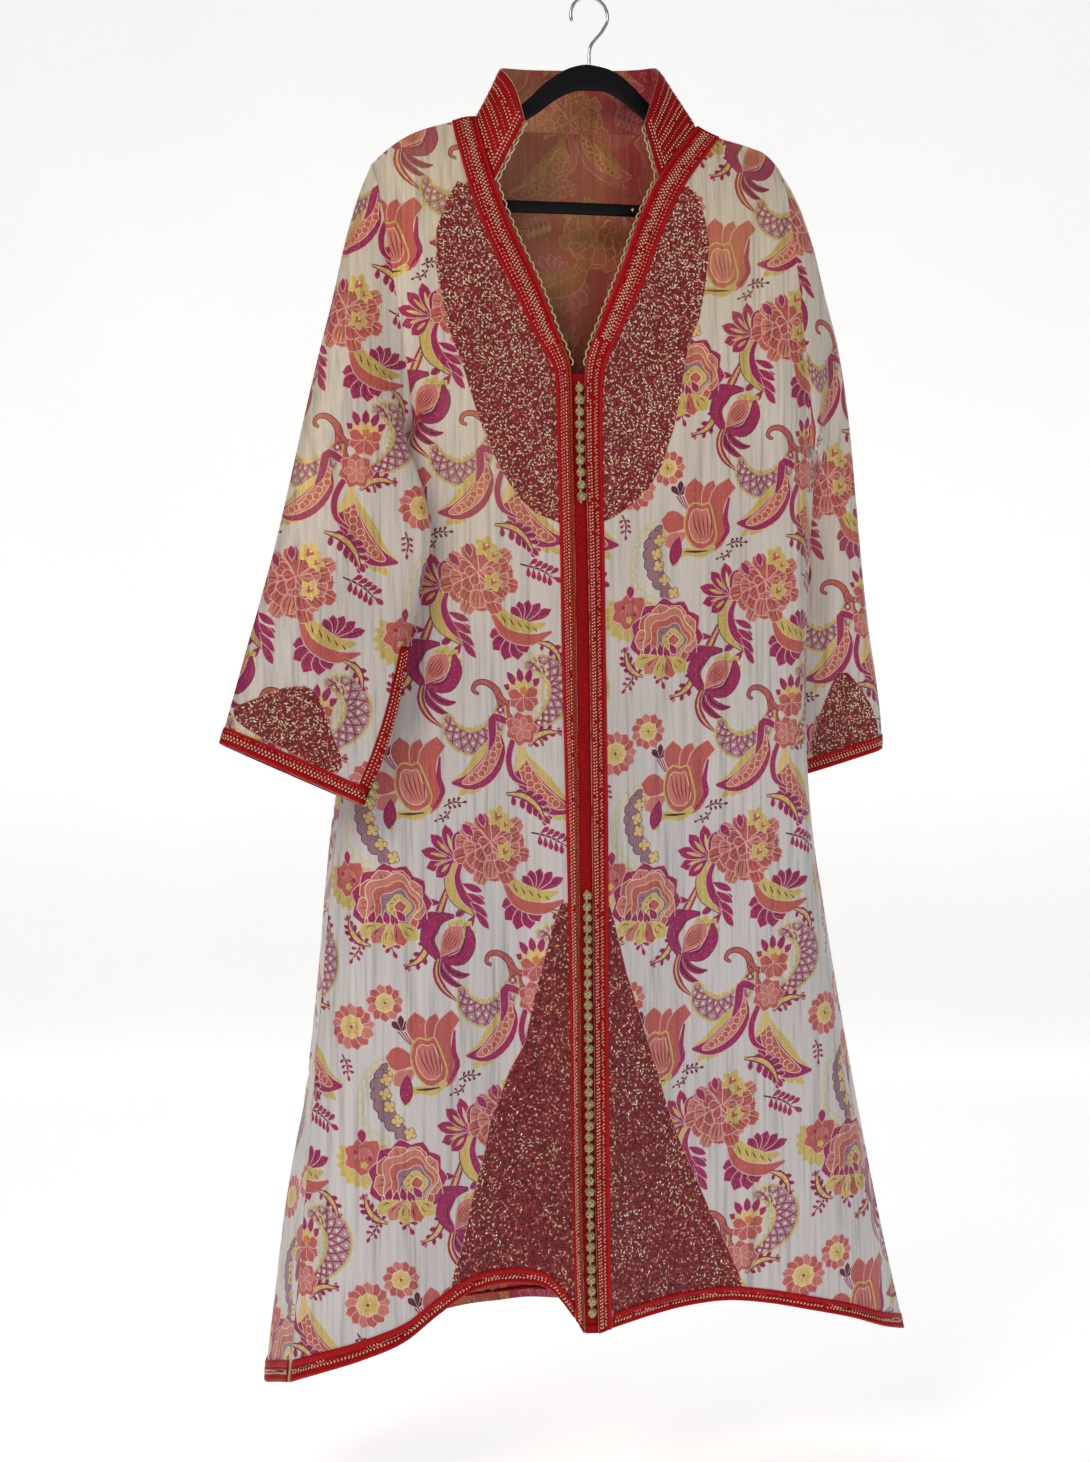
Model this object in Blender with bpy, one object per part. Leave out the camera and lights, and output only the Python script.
# Moroccan kaftan on its hanger. Metres, +Z up, the front faces -Y, the hanger lies along X.
# The origin is the inside top of the hanger's hook, where a rail carries it. Tables are in millimetres.
import math

import bmesh
import bpy
from mathutils import Vector
from mathutils.bvhtree import BVHTree

MM = 0.001

# Cloth and trim sizes
CLOTH = 1.5  # wall of the brocade
BRAID = 1.2  # thickness of the braids laid on the brocade
GAP = 0.35  # air between a braid and the cloth under it
SEAM = 0.5  # each piece stops this far short of a seam
LIFT = CLOTH / 2 + GAP + BRAID / 2  # middle of a braid above the middle of its cloth
HEM_BAND = 17.0
ROUND = 2.4  # how square the flattened tubes are
KNOT_R = 5.7

# Grid counts
TOP = 11  # rows from shoulder to underarm, and half the columns of a sleeve
SKIRT = 13  # rows from underarm to the hem band
ACROSS = 8  # columns of a front beyond its braid
RINGS = 13  # sleeve rings above the cuff band
NECK_COLS = 14  # columns of the back along the neckline

# Fronts. Each row: inner edge x y z, outer edge x y z, depth of the flat middle, width of the front braid.
# The first seven rows run from the shoulder seam to the underarm, the others down the side seam to the hem.
FRONT_LEFT = [
    (-126.2, -0.9, -139.4, -241.4, -0.9, -197.6, -1.0, 29.0),
    (-123.0, -14.0, -166.0, -238.2, -14.0, -237.8, -17.0, 30.0),
    (-109.8, -22.0, -214.8, -232.6, -19.0, -286.6, -25.0, 31.0),
    (-91.0, -26.0, -265.0, -222.3, -22.0, -334.6, -29.0, 31.0),
    (-63.8, -30.0, -322.2, -219.3, -23.0, -388.0, -31.0, 30.0),
    (-42.8, -31.0, -376.4, -212.0, -19.0, -438.3, -33.0, 25.0),
    (-28.5, -32.0, -418.0, -197.6, 0.0, -480.4, -33.0, 20.0),
    (-27.3, -34.0, -533.1, -214.0, 3.0, -538.0, -33.0, 17.5),
    (-26.0, -36.0, -619.8, -226.0, 0.0, -664.1, -34.0, 17.0),
    (-26.5, -44.0, -879.5, -276.0, -4.0, -878.7, -44.0, 17.0),
    (-28.3, -56.0, -1093.9, -298.5, -9.0, -1090.6, -54.0, 17.0),
    (-29.5, -72.0, -1305.5, -317.3, -28.0, -1299.2, -66.0, 17.5),
    (-26.6, -84.0, -1445.0, -334.0, -34.0, -1488.2, -72.0, 18.0),
]
FRONT_RIGHT = [
    (123.0, -0.9, -132.7, 220.8, -0.9, -176.8, -1.0, 29.0),
    (96.9, -14.0, -163.1, 229.2, -14.0, -221.8, -17.0, 30.0),
    (70.3, -22.0, -199.6, 236.9, -19.0, -261.6, -25.0, 31.0),
    (46.3, -26.0, -250.1, 240.5, -22.0, -315.6, -29.0, 31.0),
    (23.6, -30.0, -310.3, 242.5, -23.0, -364.8, -31.0, 30.0),
    (0.4, -31.0, -368.1, 247.5, -19.0, -421.1, -33.0, 26.0),
    (-13.4, -32.0, -418.0, 255.7, 0.0, -482.4, -33.0, 22.0),
    (-13.2, -34.0, -532.8, 263.0, 1.0, -536.5, -33.0, 19.5),
    (-11.8, -36.0, -619.6, 253.4, 0.0, -657.3, -34.0, 19.0),
    (-12.4, -44.0, -879.6, 256.5, 0.0, -882.8, -42.0, 19.0),
    (-14.2, -56.0, -1094.3, 291.8, 0.0, -1109.5, -50.0, 18.0),
    (-15.4, -72.0, -1306.2, 336.6, 0.0, -1338.2, -58.0, 17.5),
    (-12.6, -84.0, -1445.6, 370.8, 0.0, -1485.9, -60.0, 17.0),
]
# Hems of the fronts. Each row: share of the way from front edge to side seam, y, z.
HEM_LEFT = [
    (0.00, -84.0, -1445.0), (0.05, -72.0, -1419.0), (0.10, -58.0, -1402.0), (0.17, -48.0, -1394.6),
    (0.31, -50.0, -1394.8), (0.40, -58.0, -1400.8), (0.50, -68.0, -1416.0), (0.57, -74.0, -1434.0),
    (0.67, -78.0, -1449.4), (0.83, -74.0, -1464.7), (0.92, -62.0, -1474.2), (1.00, -34.0, -1488.2),
]
HEM_RIGHT = [
    (0.00, -84.0, -1445.6), (0.09, -74.0, -1438.5), (0.19, -58.0, -1435.2), (0.29, -46.0, -1431.9),
    (0.39, -38.0, -1430.6), (0.49, -36.0, -1432.4), (0.58, -42.0, -1439.8), (0.68, -50.0, -1446.2),
    (0.78, -48.0, -1455.7), (0.89, -34.0, -1471.4), (0.97, -12.0, -1482.8), (1.00, 0.0, -1485.9),
]
# Shoulder seams, from the neck to the sleeve. Each row: x, z.
RIDGE_LEFT = [(-126.2, -139.4), (-140.0, -141.0), (-155.0, -146.5), (-185.0, -156.0), (-208.0, -168.0), (-227.0, -183.0), (-241.4, -197.6)]
RIDGE_RIGHT = [(123.0, -132.7), (136.0, -139.0), (154.0, -145.5), (178.0, -150.5), (201.0, -157.0), (212.0, -165.5), (220.8, -176.8)]
# Neckline of the back, from left to right. Each row: x, y, z.
NECK_BACK = [
    (-126.2, 0.9, -139.4), (-121.0, 17.0, -139.6), (-106.0, 33.0, -139.8), (-75.0, 45.0, -139.5), (-30.0, 50.0, -138.0),
    (19.0, 51.0, -136.0), (67.0, 46.0, -134.0), (103.0, 33.0, -132.5), (118.0, 17.0, -132.6), (123.0, 0.9, -132.7),
]
# Back. Each row: z of the middle, left extreme x y, right extreme x y, depth of the flat middle.
# The rows begin at the underarm; the first column is matched to the fronts' side seams.
BACK = [
    (-481.0, -197.6, 0.0, 255.7, 0.0, 33.0),
    (-541.0, -214.2, 5.0, 262.5, 2.0, 31.0),
    (-640.0, -227.5, 3.0, 253.8, 2.0, 28.0),
    (-880.0, -276.0, 4.0, 257.5, 8.0, 32.0),
    (-1094.0, -298.0, 6.0, 292.8, 10.0, 46.0),
    (-1200.0, -308.0, 12.0, 315.0, 11.0, 54.0),
    (-1306.0, -330.0, 18.0, 337.6, 12.0, 62.0),
    (-1450.0, -353.0, 22.0, 371.8, 12.0, 78.0),
]
# Hem of the back. Each row: share of the way from the left side seam to the right one, y, z.
HEM_BACK = [
    (0.00, -34.0, -1489.0), (0.06, 26.0, -1508.0), (0.12, 60.0, -1500.0), (0.20, 66.0, -1480.0), (0.28, 72.0, -1462.0),
    (0.36, 84.0, -1448.0), (0.46, 90.0, -1445.0), (0.55, 84.0, -1452.0), (0.66, 72.0, -1455.0), (0.78, 78.0, -1458.0),
    (0.90, 62.0, -1472.0), (0.96, 34.0, -1482.0), (1.00, 0.0, -1486.4),
]

# Sleeves. Each row: outer edge x y z, inner edge x y z, half depth,
# share of the loop that the slit leaves open, tilt of the ring in degrees.
# The last two rows are the upper and lower edges of the cuff band. The left sleeve hangs before the body, the right one behind it.
SLEEVE_LEFT = [
    (-241.4, 0.0, -197.6, -197.6, 0.0, -480.4, 24.0, 0.0, 0.0),
    (-263.8, -4.0, -256.8, -209.0, -12.0, -488.0, 24.0, 0.0, -18.0),
    (-282.6, -10.0, -336.4, -210.0, -31.0, -505.0, 23.0, 0.0, -26.0),
    (-308.1, -22.0, -435.0, -199.3, -52.0, -540.9, 22.0, 0.0, -20.0),
    (-331.4, -38.0, -532.3, -190.2, -64.0, -587.7, 20.0, 0.0, -12.0),
    (-355.0, -54.0, -626.0, -198.0, -70.0, -641.9, 19.0, 0.0, -6.0),
    (-376.0, -66.0, -697.0, -213.2, -74.0, -702.6, 19.0, 0.0, -3.0),
    (-392.0, -73.0, -752.0, -222.9, -78.0, -762.0, 20.0, 0.03, 0.0),
    (-401.0, -77.0, -783.0, -234.7, -81.0, -820.7, 21.0, 0.06, 0.0),
    (-406.2, -79.0, -801.0, -253.0, -82.0, -868.4, 22.0, 0.07, 0.0),
    (-411.5, -80.0, -818.3, -259.3, -82.0, -885.4, 22.0, 0.07, 0.0),
]
SLEEVE_RIGHT = [
    (220.8, 0.0, -176.8, 255.7, 0.0, -482.4, 24.0, 0.0, 0.0),
    (252.0, 3.0, -228.0, 267.0, 5.0, -488.0, 23.0, 0.0, 22.0),
    (277.0, 9.0, -308.0, 274.5, 19.0, -499.5, 22.0, 0.0, 40.0),
    (301.5, 21.0, -382.0, 272.0, 41.0, -528.0, 21.0, 0.0, 36.0),
    (319.0, 36.0, -464.0, 260.0, 56.0, -574.0, 20.0, 0.0, 20.0),
    (334.5, 51.0, -560.6, 242.0, 64.0, -642.0, 18.0, 0.0, 8.0),
    (348.5, 60.0, -664.1, 221.4, 70.0, -720.9, 18.0, 0.0, 4.0),
    (361.3, 66.0, -732.2, 208.6, 72.0, -775.6, 19.0, 0.03, 0.0),
    (369.3, 70.0, -777.7, 197.5, 74.0, -828.0, 20.0, 0.06, 0.0),
    (372.2, 71.0, -808.0, 188.5, 75.0, -862.5, 21.0, 0.07, 0.0),
    (371.8, 71.0, -826.0, 184.6, 75.0, -880.0, 21.0, 0.07, 0.0),
]

# Collar. Each row: share of the way along the neck seam, top edge x y z.
COLLAR_LEFT_Z, COLLAR_RIGHT_Z = -213.0, -199.0  # where the collar starts on the front edges
COLLAR_TOP = [
    (0.00, -82.9, -44.0, -150.5), (0.06, -88.5, -41.0, -125.0), (0.13, -95.5, -34.0, -103.0), (0.20, -104.6, -14.0, -88.0),
    (0.28, -92.0, 12.0, -80.0), (0.37, -62.0, 32.0, -74.5), (0.50, 2.0, 42.0, -68.0), (0.64, 48.0, 35.0, -66.5),
    (0.72, 70.0, 18.0, -68.0), (0.80, 78.5, -6.0, -71.3), (0.87, 69.0, -28.0, -95.0), (0.94, 58.0, -38.0, -124.0),
    (1.00, 49.6, -42.0, -147.1),
]

# Hanger. Each row: x, z of the middle line, height of the section. It is one closed loop, 6 mm thick.
HANGER_THICK = 6.0
HANGER = [
    (0.0, -87.0, 29.0), (20.0, -89.0, 26.0), (40.0, -99.0, 22.0), (62.0, -117.5, 18.0), (84.0, -133.0, 16.0),
    (112.0, -145.0, 14.5), (150.0, -157.0, 13.0), (184.0, -168.0, 13.0), (203.0, -181.0, 12.5), (210.0, -200.0, 12.5),
    (200.0, -220.0, 12.5), (178.0, -229.0, 13.0), (120.0, -230.0, 13.5), (50.0, -230.5, 13.5), (-30.0, -232.0, 13.5),
    (-110.0, -234.0, 13.5), (-180.0, -236.5, 13.0), (-206.0, -230.0, 12.5), (-219.0, -215.0, 12.5), (-213.0, -199.0, 12.5),
    (-192.0, -183.0, 13.0), (-158.0, -167.0, 13.0), (-122.0, -153.0, 14.5), (-90.0, -140.0, 16.0), (-66.0, -124.5, 18.0),
    (-42.0, -103.5, 22.0), (-20.0, -91.0, 26.0),
]
HOOK_WIRE = 1.9  # radius
HOOK_BEND = 19.0  # inside radius of the bend
SEAT = 0.3  # between the foot of the hook and the top of the hanger


def spline(rows, u):
    """A point at row number u of a table, on a Catmull-Rom curve through its rows."""
    last = len(rows) - 1
    i = min(max(int(u), 0), last - 1)
    t = u - i
    p0, p1, p2, p3 = (rows[min(max(i + k, 0), last)] for k in (-1, 0, 1, 2))
    return [
        0.5 * (2 * b + (c - a) * t + (2 * a - 5 * b + 4 * c - d) * t * t + (3 * b - a - 3 * c + d) * t**3)
        for a, b, c, d in zip(p0, p1, p2, p3)
    ]


def across(rows, x, key=0):
    """A row of a table at x of its column key, in straight steps."""
    up = rows[-1][key] > rows[0][key]
    for a, b in zip(rows, rows[1:]):
        if (x <= b[key]) if up else (x >= b[key]):
            t = (x - a[key]) / (b[key] - a[key])
            return [p + (q - p) * t for p, q in zip(a, b)]
    return list(rows[-1])


def lengths(line):
    run = [0.0]
    for a, b in zip(line, line[1:]):
        run.append(run[-1] + (b - a).length)
    return run


def at_lengths(line, wanted):
    """Points of a polyline at these lengths along it."""
    run, out, i = lengths(line), [], 0
    for w in wanted:
        while i < len(line) - 2 and run[i + 1] < w:
            i += 1
        t = (w - run[i]) / max(run[i + 1] - run[i], 1e-9)
        out.append(line[i].lerp(line[i + 1], min(max(t, 0.0), 1.0)))
    return out


def evenly(line, n):
    total = lengths(line)[-1]
    return at_lengths(line, [total * k / n for k in range(n + 1)])


def pulled_back(line, first, last):
    """A row of points with its ends drawn in along itself, so that the pieces on both sides of a seam stay apart."""
    line = [p.copy() for p in line]
    if first:
        line[0] += (line[1] - line[0]).normalized() * first
    if last:
        line[-1] += (line[-2] - line[-1]).normalized() * last
    return line


def normals(grid, wrap=0):
    """Normals of a grid of points. The first wrap rows close on themselves."""
    out = []
    for i, row in enumerate(grid):
        n = len(row)
        line = []
        for j in range(n):
            if i < wrap:
                left, right = row[j - 1] if j else row[n - 2], row[j + 1] if j < n - 1 else row[1]
            else:
                left, right = row[max(j - 1, 0)], row[min(j + 1, n - 1)]
            up, down = grid[max(i - 1, 0)][j], grid[min(i + 1, len(grid) - 1)][j]
            line.append((right - left).cross(down - up).normalized())
        out.append(line)
    return out


def calmed(ns):
    """Normals evened out along the length of a piece, for where it turns sharply."""
    for _ in range(2):
        ns = [ns[0]] + [[(a + b * 2 + c).normalized() for a, b, c in zip(*rows)] for rows in zip(ns, ns[1:], ns[2:])] + [ns[-1]]
    return ns


def moved(grid, ns, h):
    return [[p + n * h for p, n in zip(a, b)] for a, b in zip(grid, ns)]


def cut(grid, rows, cols):
    return [[grid[i][j].copy() for j in cols] for i in rows]


def finish_mesh(name, verts, faces):
    me = bpy.data.meshes.new(name)
    me.from_pydata([v * MM for v in verts], [], faces)
    bm = bmesh.new()
    bm.from_mesh(me)
    bmesh.ops.recalc_face_normals(bm, faces=bm.faces)
    bmesh.ops.triangulate(bm, faces=bm.faces)
    bm.to_mesh(me)
    bm.free()
    ob = bpy.data.objects.new(name, me)
    bpy.context.scene.collection.objects.link(ob)
    return ob


def shell(name, grid, thick, wrap=0, ns=None):
    """One closed body of even thickness about a grid of points. The first wrap rows are closed rings."""
    ns = ns or normals(grid, wrap)
    rows, cols = len(grid), len(grid[0])
    verts, index = [], {}
    for side in (1, -1):
        for i in range(rows):
            for j in range(cols):
                if i < wrap and j == cols - 1:
                    index[side, i, j] = index[side, i, 0]
                    continue
                index[side, i, j] = len(verts)
                verts.append(grid[i][j] + ns[i][j] * (side * thick / 2))
    faces = []
    for i in range(rows - 1):
        for j in range(cols - 1):
            for side in (1, -1):
                faces.append([index[side, a, b] for a, b in ((i, j), (i, j + 1), (i + 1, j + 1), (i + 1, j))])
    for i in (0, rows - 1):
        for j in range(cols - 1):
            faces.append([index[1, i, j], index[1, i, j + 1], index[-1, i, j + 1], index[-1, i, j]])
    for j in (0, cols - 1):
        for i in range(max(wrap - 1, 0), rows - 1):
            faces.append([index[1, i, j], index[1, i + 1, j], index[-1, i + 1, j], index[-1, i, j]])
    return finish_mesh(name, verts, faces)


def tube(name, line, radii, sides, closed=False, section=None):
    """A rod along a line. radii has one radius per point; section gives its own points about the line."""
    n = len(line)
    verts, faces = [], []
    for i, p in enumerate(line):
        a = line[(i - 1) % n] if closed or i else p
        b = line[(i + 1) % n] if closed or i < n - 1 else p
        along = (b - a).normalized()
        side = Vector((0, 1, 0)) if abs(along.y) < 0.9 else Vector((1, 0, 0))
        side = (side - along * side.dot(along)).normalized()
        other = along.cross(side)
        for k in range(sides):
            if section:
                u, v = section(i, k)
            else:
                u, v = radii[i] * math.cos(2 * math.pi * k / sides), radii[i] * math.sin(2 * math.pi * k / sides)
            verts.append(p + side * u + other * v)
    for i in range(n if closed else n - 1):
        for k in range(sides):
            a, b = i * sides, ((i + 1) % n) * sides
            faces.append([a + k, a + (k + 1) % sides, b + (k + 1) % sides, b + k])
    if not closed:
        faces.append(list(range(sides)))
        faces.append(list(range((n - 1) * sides, n * sides)))
    return finish_mesh(name, verts, faces)


def ring(row, n):
    """One flattened section of a sleeve, from its inner edge round the front and the outer edge to the inner edge again."""
    o, i, d, gap = Vector(row[:3]), Vector(row[3:6]), row[6], row[7]
    deep = Vector((0, d * math.cos(math.radians(row[8])), d * math.sin(math.radians(row[8]))))
    mid, half = (o + i) / 2, (i - o) / 2

    def quarter(face):
        line = []
        for k in range(241):
            a = math.pi * k / 240
            c, s = math.cos(a), math.sin(a)
            line.append(mid + half * math.copysign(abs(c) ** (2 / ROUND), c) + deep * (face * abs(s) ** (2 / ROUND)))
        total = lengths(line)[-1]
        return at_lengths(line, [total * (gap + (1 - gap) * k / n) for k in range(n + 1)])

    front, back = quarter(-1), quarter(1)
    return front + back[-2::-1]


def sleeve_rows(table):
    last = len(table) - 2
    rows = [spline(table, last * k / RINGS) for k in range(RINGS)]
    band, edge = table[-2], table[-1]
    rows += [list(band), [(p + q) / 2 for p, q in zip(band, edge)], list(edge)]
    for r in rows:
        r[7] = max(r[7], 0.0)
    return rows


def sleeve_grid(table):
    rows = sleeve_rows(table)
    return [ring(r, TOP) for r in rows], sum(r[7] < 0.002 for r in rows)


def closing(t, n=4.0):
    return 1 - max(1 - t**n, 0.0) ** (1 / n)


def skirt_row(table, w):
    """The table's row number where the inner edge has gone the share w of the way from underarm to hem."""
    z0, z1 = table[6][2], table[12][2]
    z = z0 + (z1 - z0) * w
    low, high = 6.0, 12.0
    for _ in range(40):
        mid = (low + high) / 2
        if spline(table, mid)[2] > z:
            low = mid
        else:
            high = mid
    return low


def front_grid(table, hem, ridge, armhole):
    """A front panel as rows of points, from the shoulder seam to the hem, each from the front edge to the outer edge."""
    grid = []
    hem_in, hem_out = table[12][2], table[12][5]
    long = abs(table[12][2] - table[6][2])
    steps = [(6.0 * k / TOP, 0.0, k) for k in range(TOP + 1)]
    shares = [(1 - HEM_BAND / long) * k / SKIRT for k in range(1, SKIRT + 1)] + [1 - HEM_BAND / long / 2, 1.0]
    steps += [(skirt_row(table, w), w, None) for w in shares]
    for u, w, k in steps:
        xi, yi, zi, xo, yo, zo, flat, band = spline(table, u)
        if k is not None:
            xo, yo, zo = armhole[k]
            if k == 0:
                yi = yo = flat = -0.9
        line = []
        for m in range(161):
            t = math.sin(math.pi / 2 * m / 160)
            x = xi + (xo - xi) * t
            y = flat + (yi - flat) * (1 - t) ** 2 + (yo - flat) * closing(t)
            z = zi + (zo - zi) * t
            if k is not None:
                xr = ridge[0][0] + (ridge[-1][0] - ridge[0][0]) * t
                chord = ridge[0][1] + (ridge[-1][1] - ridge[0][1]) * t
                z += (across(ridge, xr)[1] - chord) * max(1 - k / 5, 0) ** 1.5
            h = across(hem, t)
            pull = w**1.6
            z += (h[2] - hem_in - (hem_out - hem_in) * t) * pull
            y += (h[1] - y) * pull
            line.append(Vector((x, y, z)))
        total = lengths(line)[-1]
        marks = [0.0, band / 2, band] + [band + (total - band) * j / ACROSS for j in range(1, ACROSS + 1)]
        grid.append(pulled_back(at_lengths(line, marks), 0, SEAM + (0 if k is None else 0.6 if k < TOP - 3 else 2.2)))
    return grid


def back_grid(left, right, arm_left, arm_right):
    """The back panel as rows of points, from shoulders and neckline to the hem, each from left to right."""
    top = [Vector((x, 0.9, z)) for x, z in reversed(RIDGE_LEFT)]
    neck = [Vector(p) for p in NECK_BACK]
    far = [Vector((x, 0.9, z)) for x, z in RIDGE_RIGHT]
    whole = [tuple(p) for p in top + neck[1:] + far[1:]]
    first = top + evenly(neck, NECK_COLS)[1:] + far[1:]
    n = len(first) - 1
    x0, x1 = first[0].x, first[-1].x
    places = [(p.x - x0) / (x1 - x0) for p in first]
    grid = [pulled_back(first, SEAM + 0.6, SEAM + 0.6)]
    neck_z, under_z = NECK_BACK[4][2], BACK[0][0]
    downs = [12.5, 25.0] + [25.0 + (neck_z - under_z - 25.0) * k / (TOP - 2) for k in range(1, TOP - 1)]
    for k in range(1, TOP + 1):
        a, b = arm_left[k], arm_right[k]
        flat = 46.0 + (BACK[0][5] - 46.0) * k / TOP
        ease = 1 - max(1 - k / 5, 0) ** 2.2
        line, shares = [], []
        for m in range(321):
            t = (1 - math.cos(math.pi * m / 320)) / 2
            s = abs(2 * t - 1)
            end = a if t < 0.5 else b
            x, y_top, z_top = across(whole, x0 + (x1 - x0) * t)
            y = flat + (end.y - flat) * closing(s)
            y = y_top + (y - y_top) * max(ease, closing(s))
            inside = max(1 - max(s - 0.45, 0) / 0.55, 0)
            level = a.z + (b.z - a.z) * t
            bump = (z_top - (first[0].z + (first[-1].z - first[0].z) * t)) * max(1 - k / 5, 0) ** 1.5 * (1 - inside)
            z = level + (neck_z - downs[k - 1] - level) * inside + bump
            line.append(Vector((a.x + (b.x - a.x) * t, y, z)))
            shares.append(t)
        run = lengths(line)
        marks = []
        for j, place in enumerate(places):
            by_x = across(list(zip(shares, run)), place)[1]
            marks.append(by_x + (run[-1] * j / n - by_x) * (k / TOP) ** 2)
        short = SEAM + (0.6 if k < TOP - 3 else 2.2)
        grid.append(pulled_back(at_lengths(line, marks), short, short))
    for i in range(TOP + 1, len(left)):
        a, b = left[i][-1], right[i][-1]
        w = min((i - TOP) / SKIRT, 1.0)
        u = w * (1 - HEM_BAND / 960)
        u += (i - TOP - SKIRT) * HEM_BAND / 960 / 2 if i > TOP + SKIRT else 0
        zm, xl, yl, xr, yr, flat = spline(BACK, back_row(u))
        line = [a]
        for m in range(1, 160):
            v = math.cos(math.pi * m / 160)
            face = 1 - max(1 - abs(v) ** 4, 0.0) ** 0.25
            x, y = (xl, yl) if v > 0 else (xr, yr)
            px = x * abs(v)
            line.append(Vector((px, flat + (y - flat) * face, 0)))
        line.append(b)
        total = lengths([Vector((p.x, p.y, 0)) for p in line])
        out = []
        for p, r in zip(line, total):
            t = r / total[-1]
            h = across(HEM_BACK, t)
            sides = a.z + (b.z - a.z) * t
            chord = HEM_BACK[0][2] + (HEM_BACK[-1][2] - HEM_BACK[0][2]) * t
            pull = u**1.6
            near = min(t, 1 - t) * 2
            z = sides + (zm - sides) * (1 - (1 - near) ** 3) * (1 - u) + (h[2] - chord) * pull
            y = p.y + (h[1] - p.y) * pull * min(near * 8, 1.0)
            out.append(Vector((p.x, y, z)))
        grid.append(pulled_back(at_lengths(out, [lengths(out)[-1] * k / n for k in range(n + 1)]), SEAM * 2, SEAM * 2))
    return grid


def back_row(u):
    z0, z1 = BACK[0][0], BACK[-1][0]
    z = z0 + (z1 - z0) * u
    for i in range(len(BACK) - 1):
        if z >= BACK[i + 1][0]:
            return i + (z - BACK[i][0]) / (BACK[i + 1][0] - BACK[i][0])
    return len(BACK) - 1.0


def knots(name, points, pitch, r, sides=6):
    """A row of ball knots on their cord, as one body."""
    total = lengths(points)[-1]
    count = round(total / pitch)
    marks, radii = [0.0], [r * 0.35]
    for k in range(count):
        mid = total * (k + 0.5) / count
        for off, rad in ((-0.30, 0.78), (0.0, 1.0), (0.30, 0.78)):
            marks.append(mid + off * total / count)
            radii.append(r * rad)
        marks.append(total * (k + 1) / count)
        radii.append(r * 0.42 if k < count - 1 else r * 0.35)
    return tube(name, at_lengths(points, marks), radii, sides)


for ob in list(bpy.data.objects):
    bpy.data.objects.remove(ob, do_unlink=True)

# Sleeves first, because the armholes of the panels follow their first rings.
sleeve_left, closed_left = sleeve_grid(SLEEVE_LEFT)
sleeve_right, closed_right = sleeve_grid(SLEEVE_RIGHT)
hole_left = {"front": sleeve_left[0][TOP::-1], "back": sleeve_left[0][TOP:]}
hole_right = {"front": sleeve_right[0][TOP::-1], "back": sleeve_right[0][TOP:]}
shell("sleeve_left", sleeve_left, CLOTH, closed_left)
shell("sleeve_right", sleeve_right, CLOTH, closed_right, calmed(normals(sleeve_right, closed_right)))

# Fronts and back
front_left = front_grid(FRONT_LEFT, HEM_LEFT, RIDGE_LEFT, hole_left["front"])
front_right = front_grid(FRONT_RIGHT, HEM_RIGHT, RIDGE_RIGHT, hole_right["front"])
back = back_grid(front_left, front_right, hole_left["back"], hole_right["back"])
shell("front_left", front_left, CLOTH)
shell("front_right", front_right, CLOTH)
shell("back", back, CLOTH)


def outward(grid, wrap=0, like=Vector((0, -1, 0))):
    """Normals turned to the outside; like says which way the middle of the piece faces."""
    ns = normals(grid, wrap)
    if ns[len(grid) // 2][len(grid[0]) // 4].dot(like) < 0:
        ns = [[-n for n in row] for row in ns]
    return ns


# Braids on the fronts, their hems and the back's hem, all from the points of the cloth moved out.
LAST = len(front_left) - 1
BAND_ROWS = (LAST - 2, LAST - 1, LAST)
ns_front = {"left": outward(front_left), "right": outward(front_right)}
for side, grid in (("left", front_left), ("right", front_right)):
    ns = ns_front[side]
    on = moved(grid, ns, LIFT)
    edge = cut(on, range(LAST + 1), (0, 1, 2))
    edge = [pulled_back(row, 1.6 if i < TOP else 0.3, GAP) for i, row in enumerate(edge)]
    edge[0] = [p + (q - p).normalized() * 2.0 for p, q in zip(edge[0], edge[1])]
    shell(f"front_braid_{side}", edge, BRAID)
    band = cut(on, BAND_ROWS, range(2, len(grid[0])))
    shell(f"hem_braid_front_{side}", [pulled_back(row, GAP, GAP) for row in band], BRAID)
ns_back = outward(back, like=Vector((0, 1, 0)))
on_back = moved(back, ns_back, LIFT)
shell("hem_braid_back", [pulled_back(r, GAP, GAP) for r in cut(on_back, BAND_ROWS, range(len(back[0])))], BRAID)


cloth = [p for row in back for p in row]
wide = len(back[0])
quads = [(i * wide + j, i * wide + j + 1, (i + 1) * wide + j + 1, (i + 1) * wide + j) for i in range(6) for j in range(wide - 1)]
tree = BVHTree.FromPolygons(cloth, quads)
under = []
for k, p in enumerate(evenly([Vector(q) for q in NECK_BACK], 24)):
    turn = math.pi / 2 * min(min(k, 24 - k) / 7, 1.0)
    slope = 0.3 if k < 12 else 0.5
    away = Vector(((-1 if k < 12 else 1) * math.cos(turn), 0, -slope * math.cos(turn) - math.sin(turn)))
    under.append([tree.find_nearest(p + away * w)[0] for w in (2.0, 15.0, 28.0)])
even = under
for _ in range(4):
    inner = [[(a + b * 2 + c) / 4 for a, b, c in zip(*rows)] for rows in zip(even, even[1:], even[2:])]
    even = [even[0]] + inner + [even[-1]]
shell("neck_braid_back", moved(under, outward(even, like=Vector((0, 1, 0))), LIFT + 1.5), BRAID)

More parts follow.
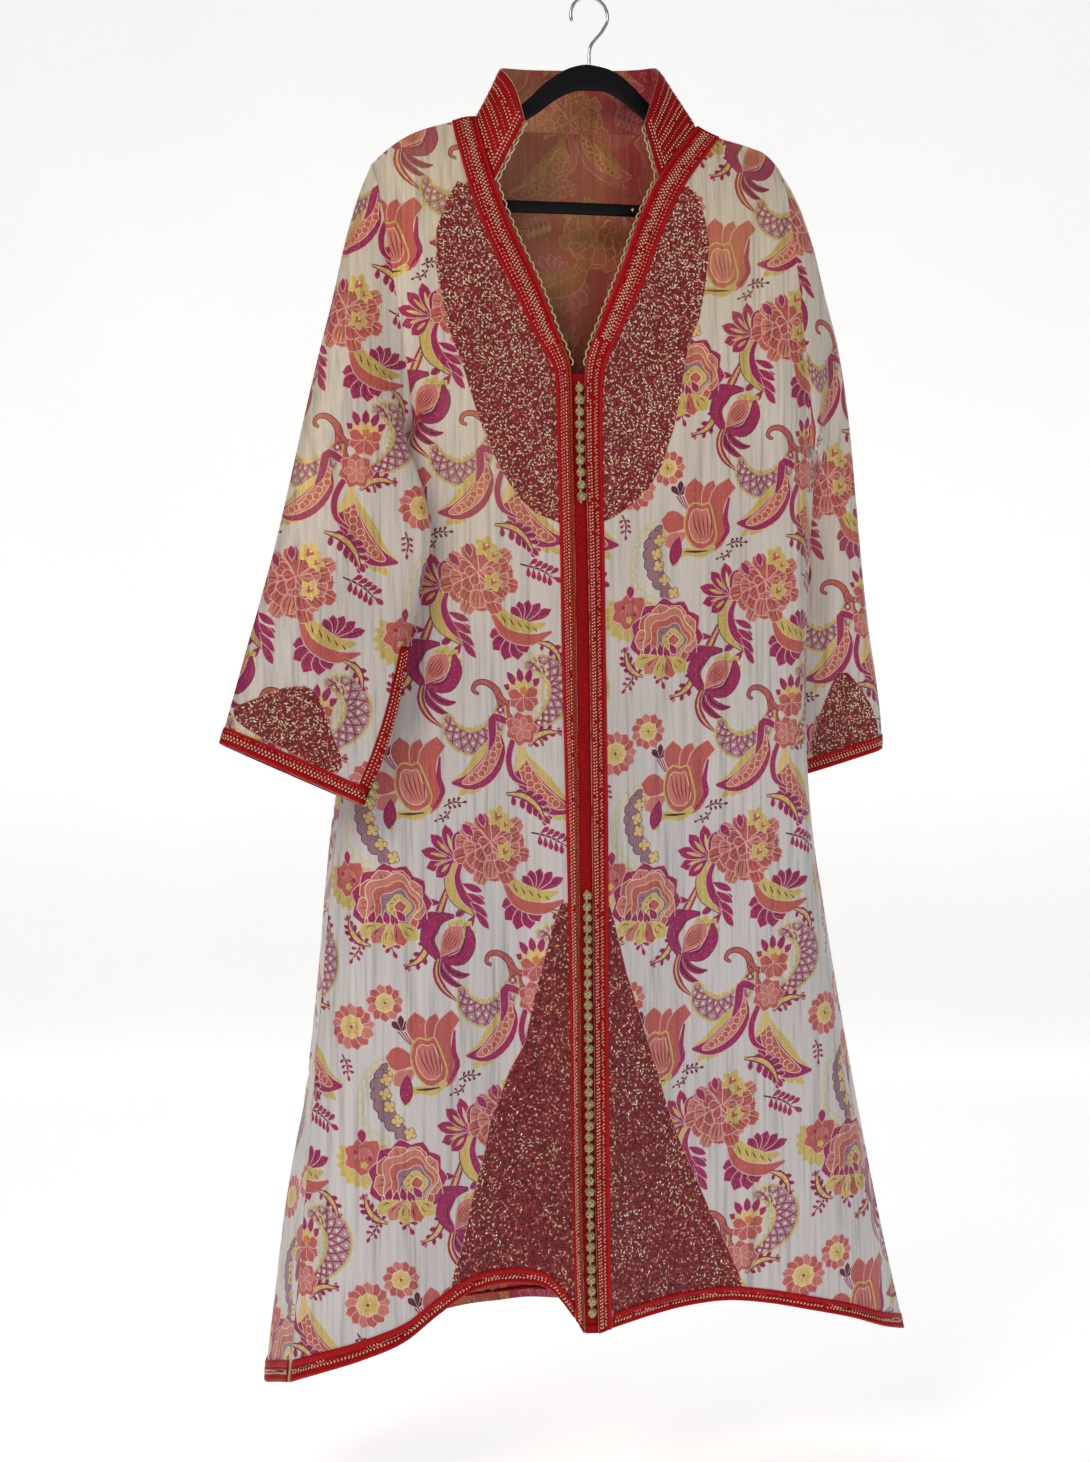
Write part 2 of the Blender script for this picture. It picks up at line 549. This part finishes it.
# Cuffs: a braid round each sleeve end, and one up the front edge of each slit.
for side, grid, wrap, face in (("left", sleeve_left, closed_left, -1), ("right", sleeve_right, closed_right, -1)):
    ns = outward(grid, wrap, Vector((0, -1, 0)))
    on = moved(grid, ns, LIFT)
    end = len(grid) - 1
    ringed = cut(on, (end - 2, end - 1, end), range(len(grid[0])))
    shell(f"cuff_braid_{side}", [pulled_back(r, GAP, GAP) for r in ringed], BRAID)
    slit = cut(on, range(wrap, end - 1), (0, 1))
    slit[-1] = [p + (q - p).normalized() * 0.8 for p, q in zip(slit[-1], slit[-2])]
    shell(f"slit_braid_{side}", [pulled_back(r, GAP, GAP) for r in slit], BRAID)
    away = LIFT + BRAID / 2 + GAP + 4.0
    corner = [grid[k][0] + ns[k][0] * away for k in range(end, wrap, -1)]
    knots(f"cuff_knots_{side}", at_lengths(corner, [2.0, 16.0, 30.0]), 9.4, 4.0)

# Strip behind the closing, and the knots in front of it
strip = []
for i in range(TOP, LAST + 1):
    row = []
    for grid, ns, turn in ((front_left, ns_front["left"], 1), (front_right, ns_front["right"], -1)):
        edge, inside = grid[i][0], grid[i][0] + (grid[i][1] - grid[i][0]).normalized() * 5.0
        row += [p - ns[i][0] * LIFT for p in (inside, edge)][::turn]
    strip.append(row)
shell("closing_strip", strip, BRAID)
middles = [(front_left[i][0] + front_right[i][0]) / 2 + Vector((0, -KNOT_R + 0.2, 0)) for i in range(TOP, LAST + 1)]


def between(line, high, low):
    out = [Vector(across([(p.z, p.x, p.y) for p in line], z)) for z in (high, low)]
    inner = [p for p in line if low < p.z < high]
    return [Vector((out[0].y, out[0].z, high))] + inner + [Vector((out[1].y, out[1].z, low))]


knots("knots_top", between(middles, -425.0, -562.0), 13.6, KNOT_R)
knots("knots_low", between(middles, -974.0, -1428.0), 11.6, KNOT_R - 0.2)

# Standing collar with its braid
def edge_line(table, z_start):
    line = [Vector(spline(table, u / 20)[:3]) for u in range(0, 81)]
    return [p for p in line if p.z >= z_start]


seam = edge_line(FRONT_LEFT, COLLAR_LEFT_Z)[::-1] + [Vector(p) for p in NECK_BACK[1:-1]] + edge_line(FRONT_RIGHT, COLLAR_RIGHT_Z)
base = [p + Vector((-p.x / 130, 0, 1)).normalized() * 1.8 for p in seam]
COLLAR_COLS = 28
foot = evenly(base, COLLAR_COLS)
head = [Vector(across(COLLAR_TOP, k / COLLAR_COLS)[1:]) for k in range(COLLAR_COLS + 1)]
head = [head[0]] + [(a + b * 2 + c) / 4 for a, b, c in zip(head, head[1:], head[2:])] + [head[-1]]
collar = [[a.lerp(b, t) for a, b in zip(foot, head)] for t in (0.0, 0.06, 0.5, 1.0)]
ns = outward(collar, like=Vector((-1, 0, 0)))
shell("collar", collar, CLOTH, ns=ns)
wrapped = moved(collar, ns, LIFT)[1:]
shell("collar_braid", [pulled_back(r, 0.5, 0.5) for r in wrapped], BRAID, ns=ns[1:])

# Picot cord along the neck edges, from the bottom of the opening to the collar's front corners
for side, grid, col in (("left", front_left, 0), ("right", front_right, COLLAR_COLS)):
    turn = 1 if side == "left" else -1
    low = [grid[k][0] for k in range(TOP, 0, -1) if grid[k][0].z < (COLLAR_LEFT_Z if turn > 0 else COLLAR_RIGHT_Z) - 4]
    line = low + [collar[1][col], collar[2][col], collar[3][col].lerp(collar[2][col], 0.05)]
    line = [p + Vector((turn * 2.6, -0.6, 0.6 if i >= len(low) else 0)) for i, p in enumerate(line)]
    line = evenly(line[1:], 24)
    tube(f"picot_{side}", line, [1.5] * len(line), 5)

# Hanger body and its wire hook
path, heights = [], []
for k in range(54):
    x, z, h = spline(HANGER + HANGER[:2], k / 2)
    path.append(Vector((x, 0, z)))
    heights.append(h)


def oblong(i, k):
    a = 2 * math.pi * (k + 0.5) / 8
    c, s = math.cos(a), math.sin(a)
    return HANGER_THICK / 2 * math.copysign(abs(c) ** 0.5, c), heights[i] / 2 * math.copysign(abs(s) ** 0.5, s)


tube("hanger", path, None, 8, closed=True, section=oblong)
bend = HOOK_BEND + HOOK_WIRE
foot_z = HANGER[0][1] + HANGER[0][2] / 2 * math.sin(math.radians(67.5)) ** 0.5 + SEAT
hook = [Vector((x, 0, z)) for x, z in ((0, foot_z), (0, -64.0), (0.3, -57.0), (2.6, -50.5), (7.4, -44.0), (12.8, -37.8))]
for k in range(20):  # right round from the neck of the hook to its open tip
    a = math.radians(-36.0 + 12.5 * k)
    hook.append(Vector((bend * math.cos(a), 0, -HOOK_BEND + bend * math.sin(a))))
tube("hanger_hook", hook, [HOOK_WIRE] * len(hook), 8)
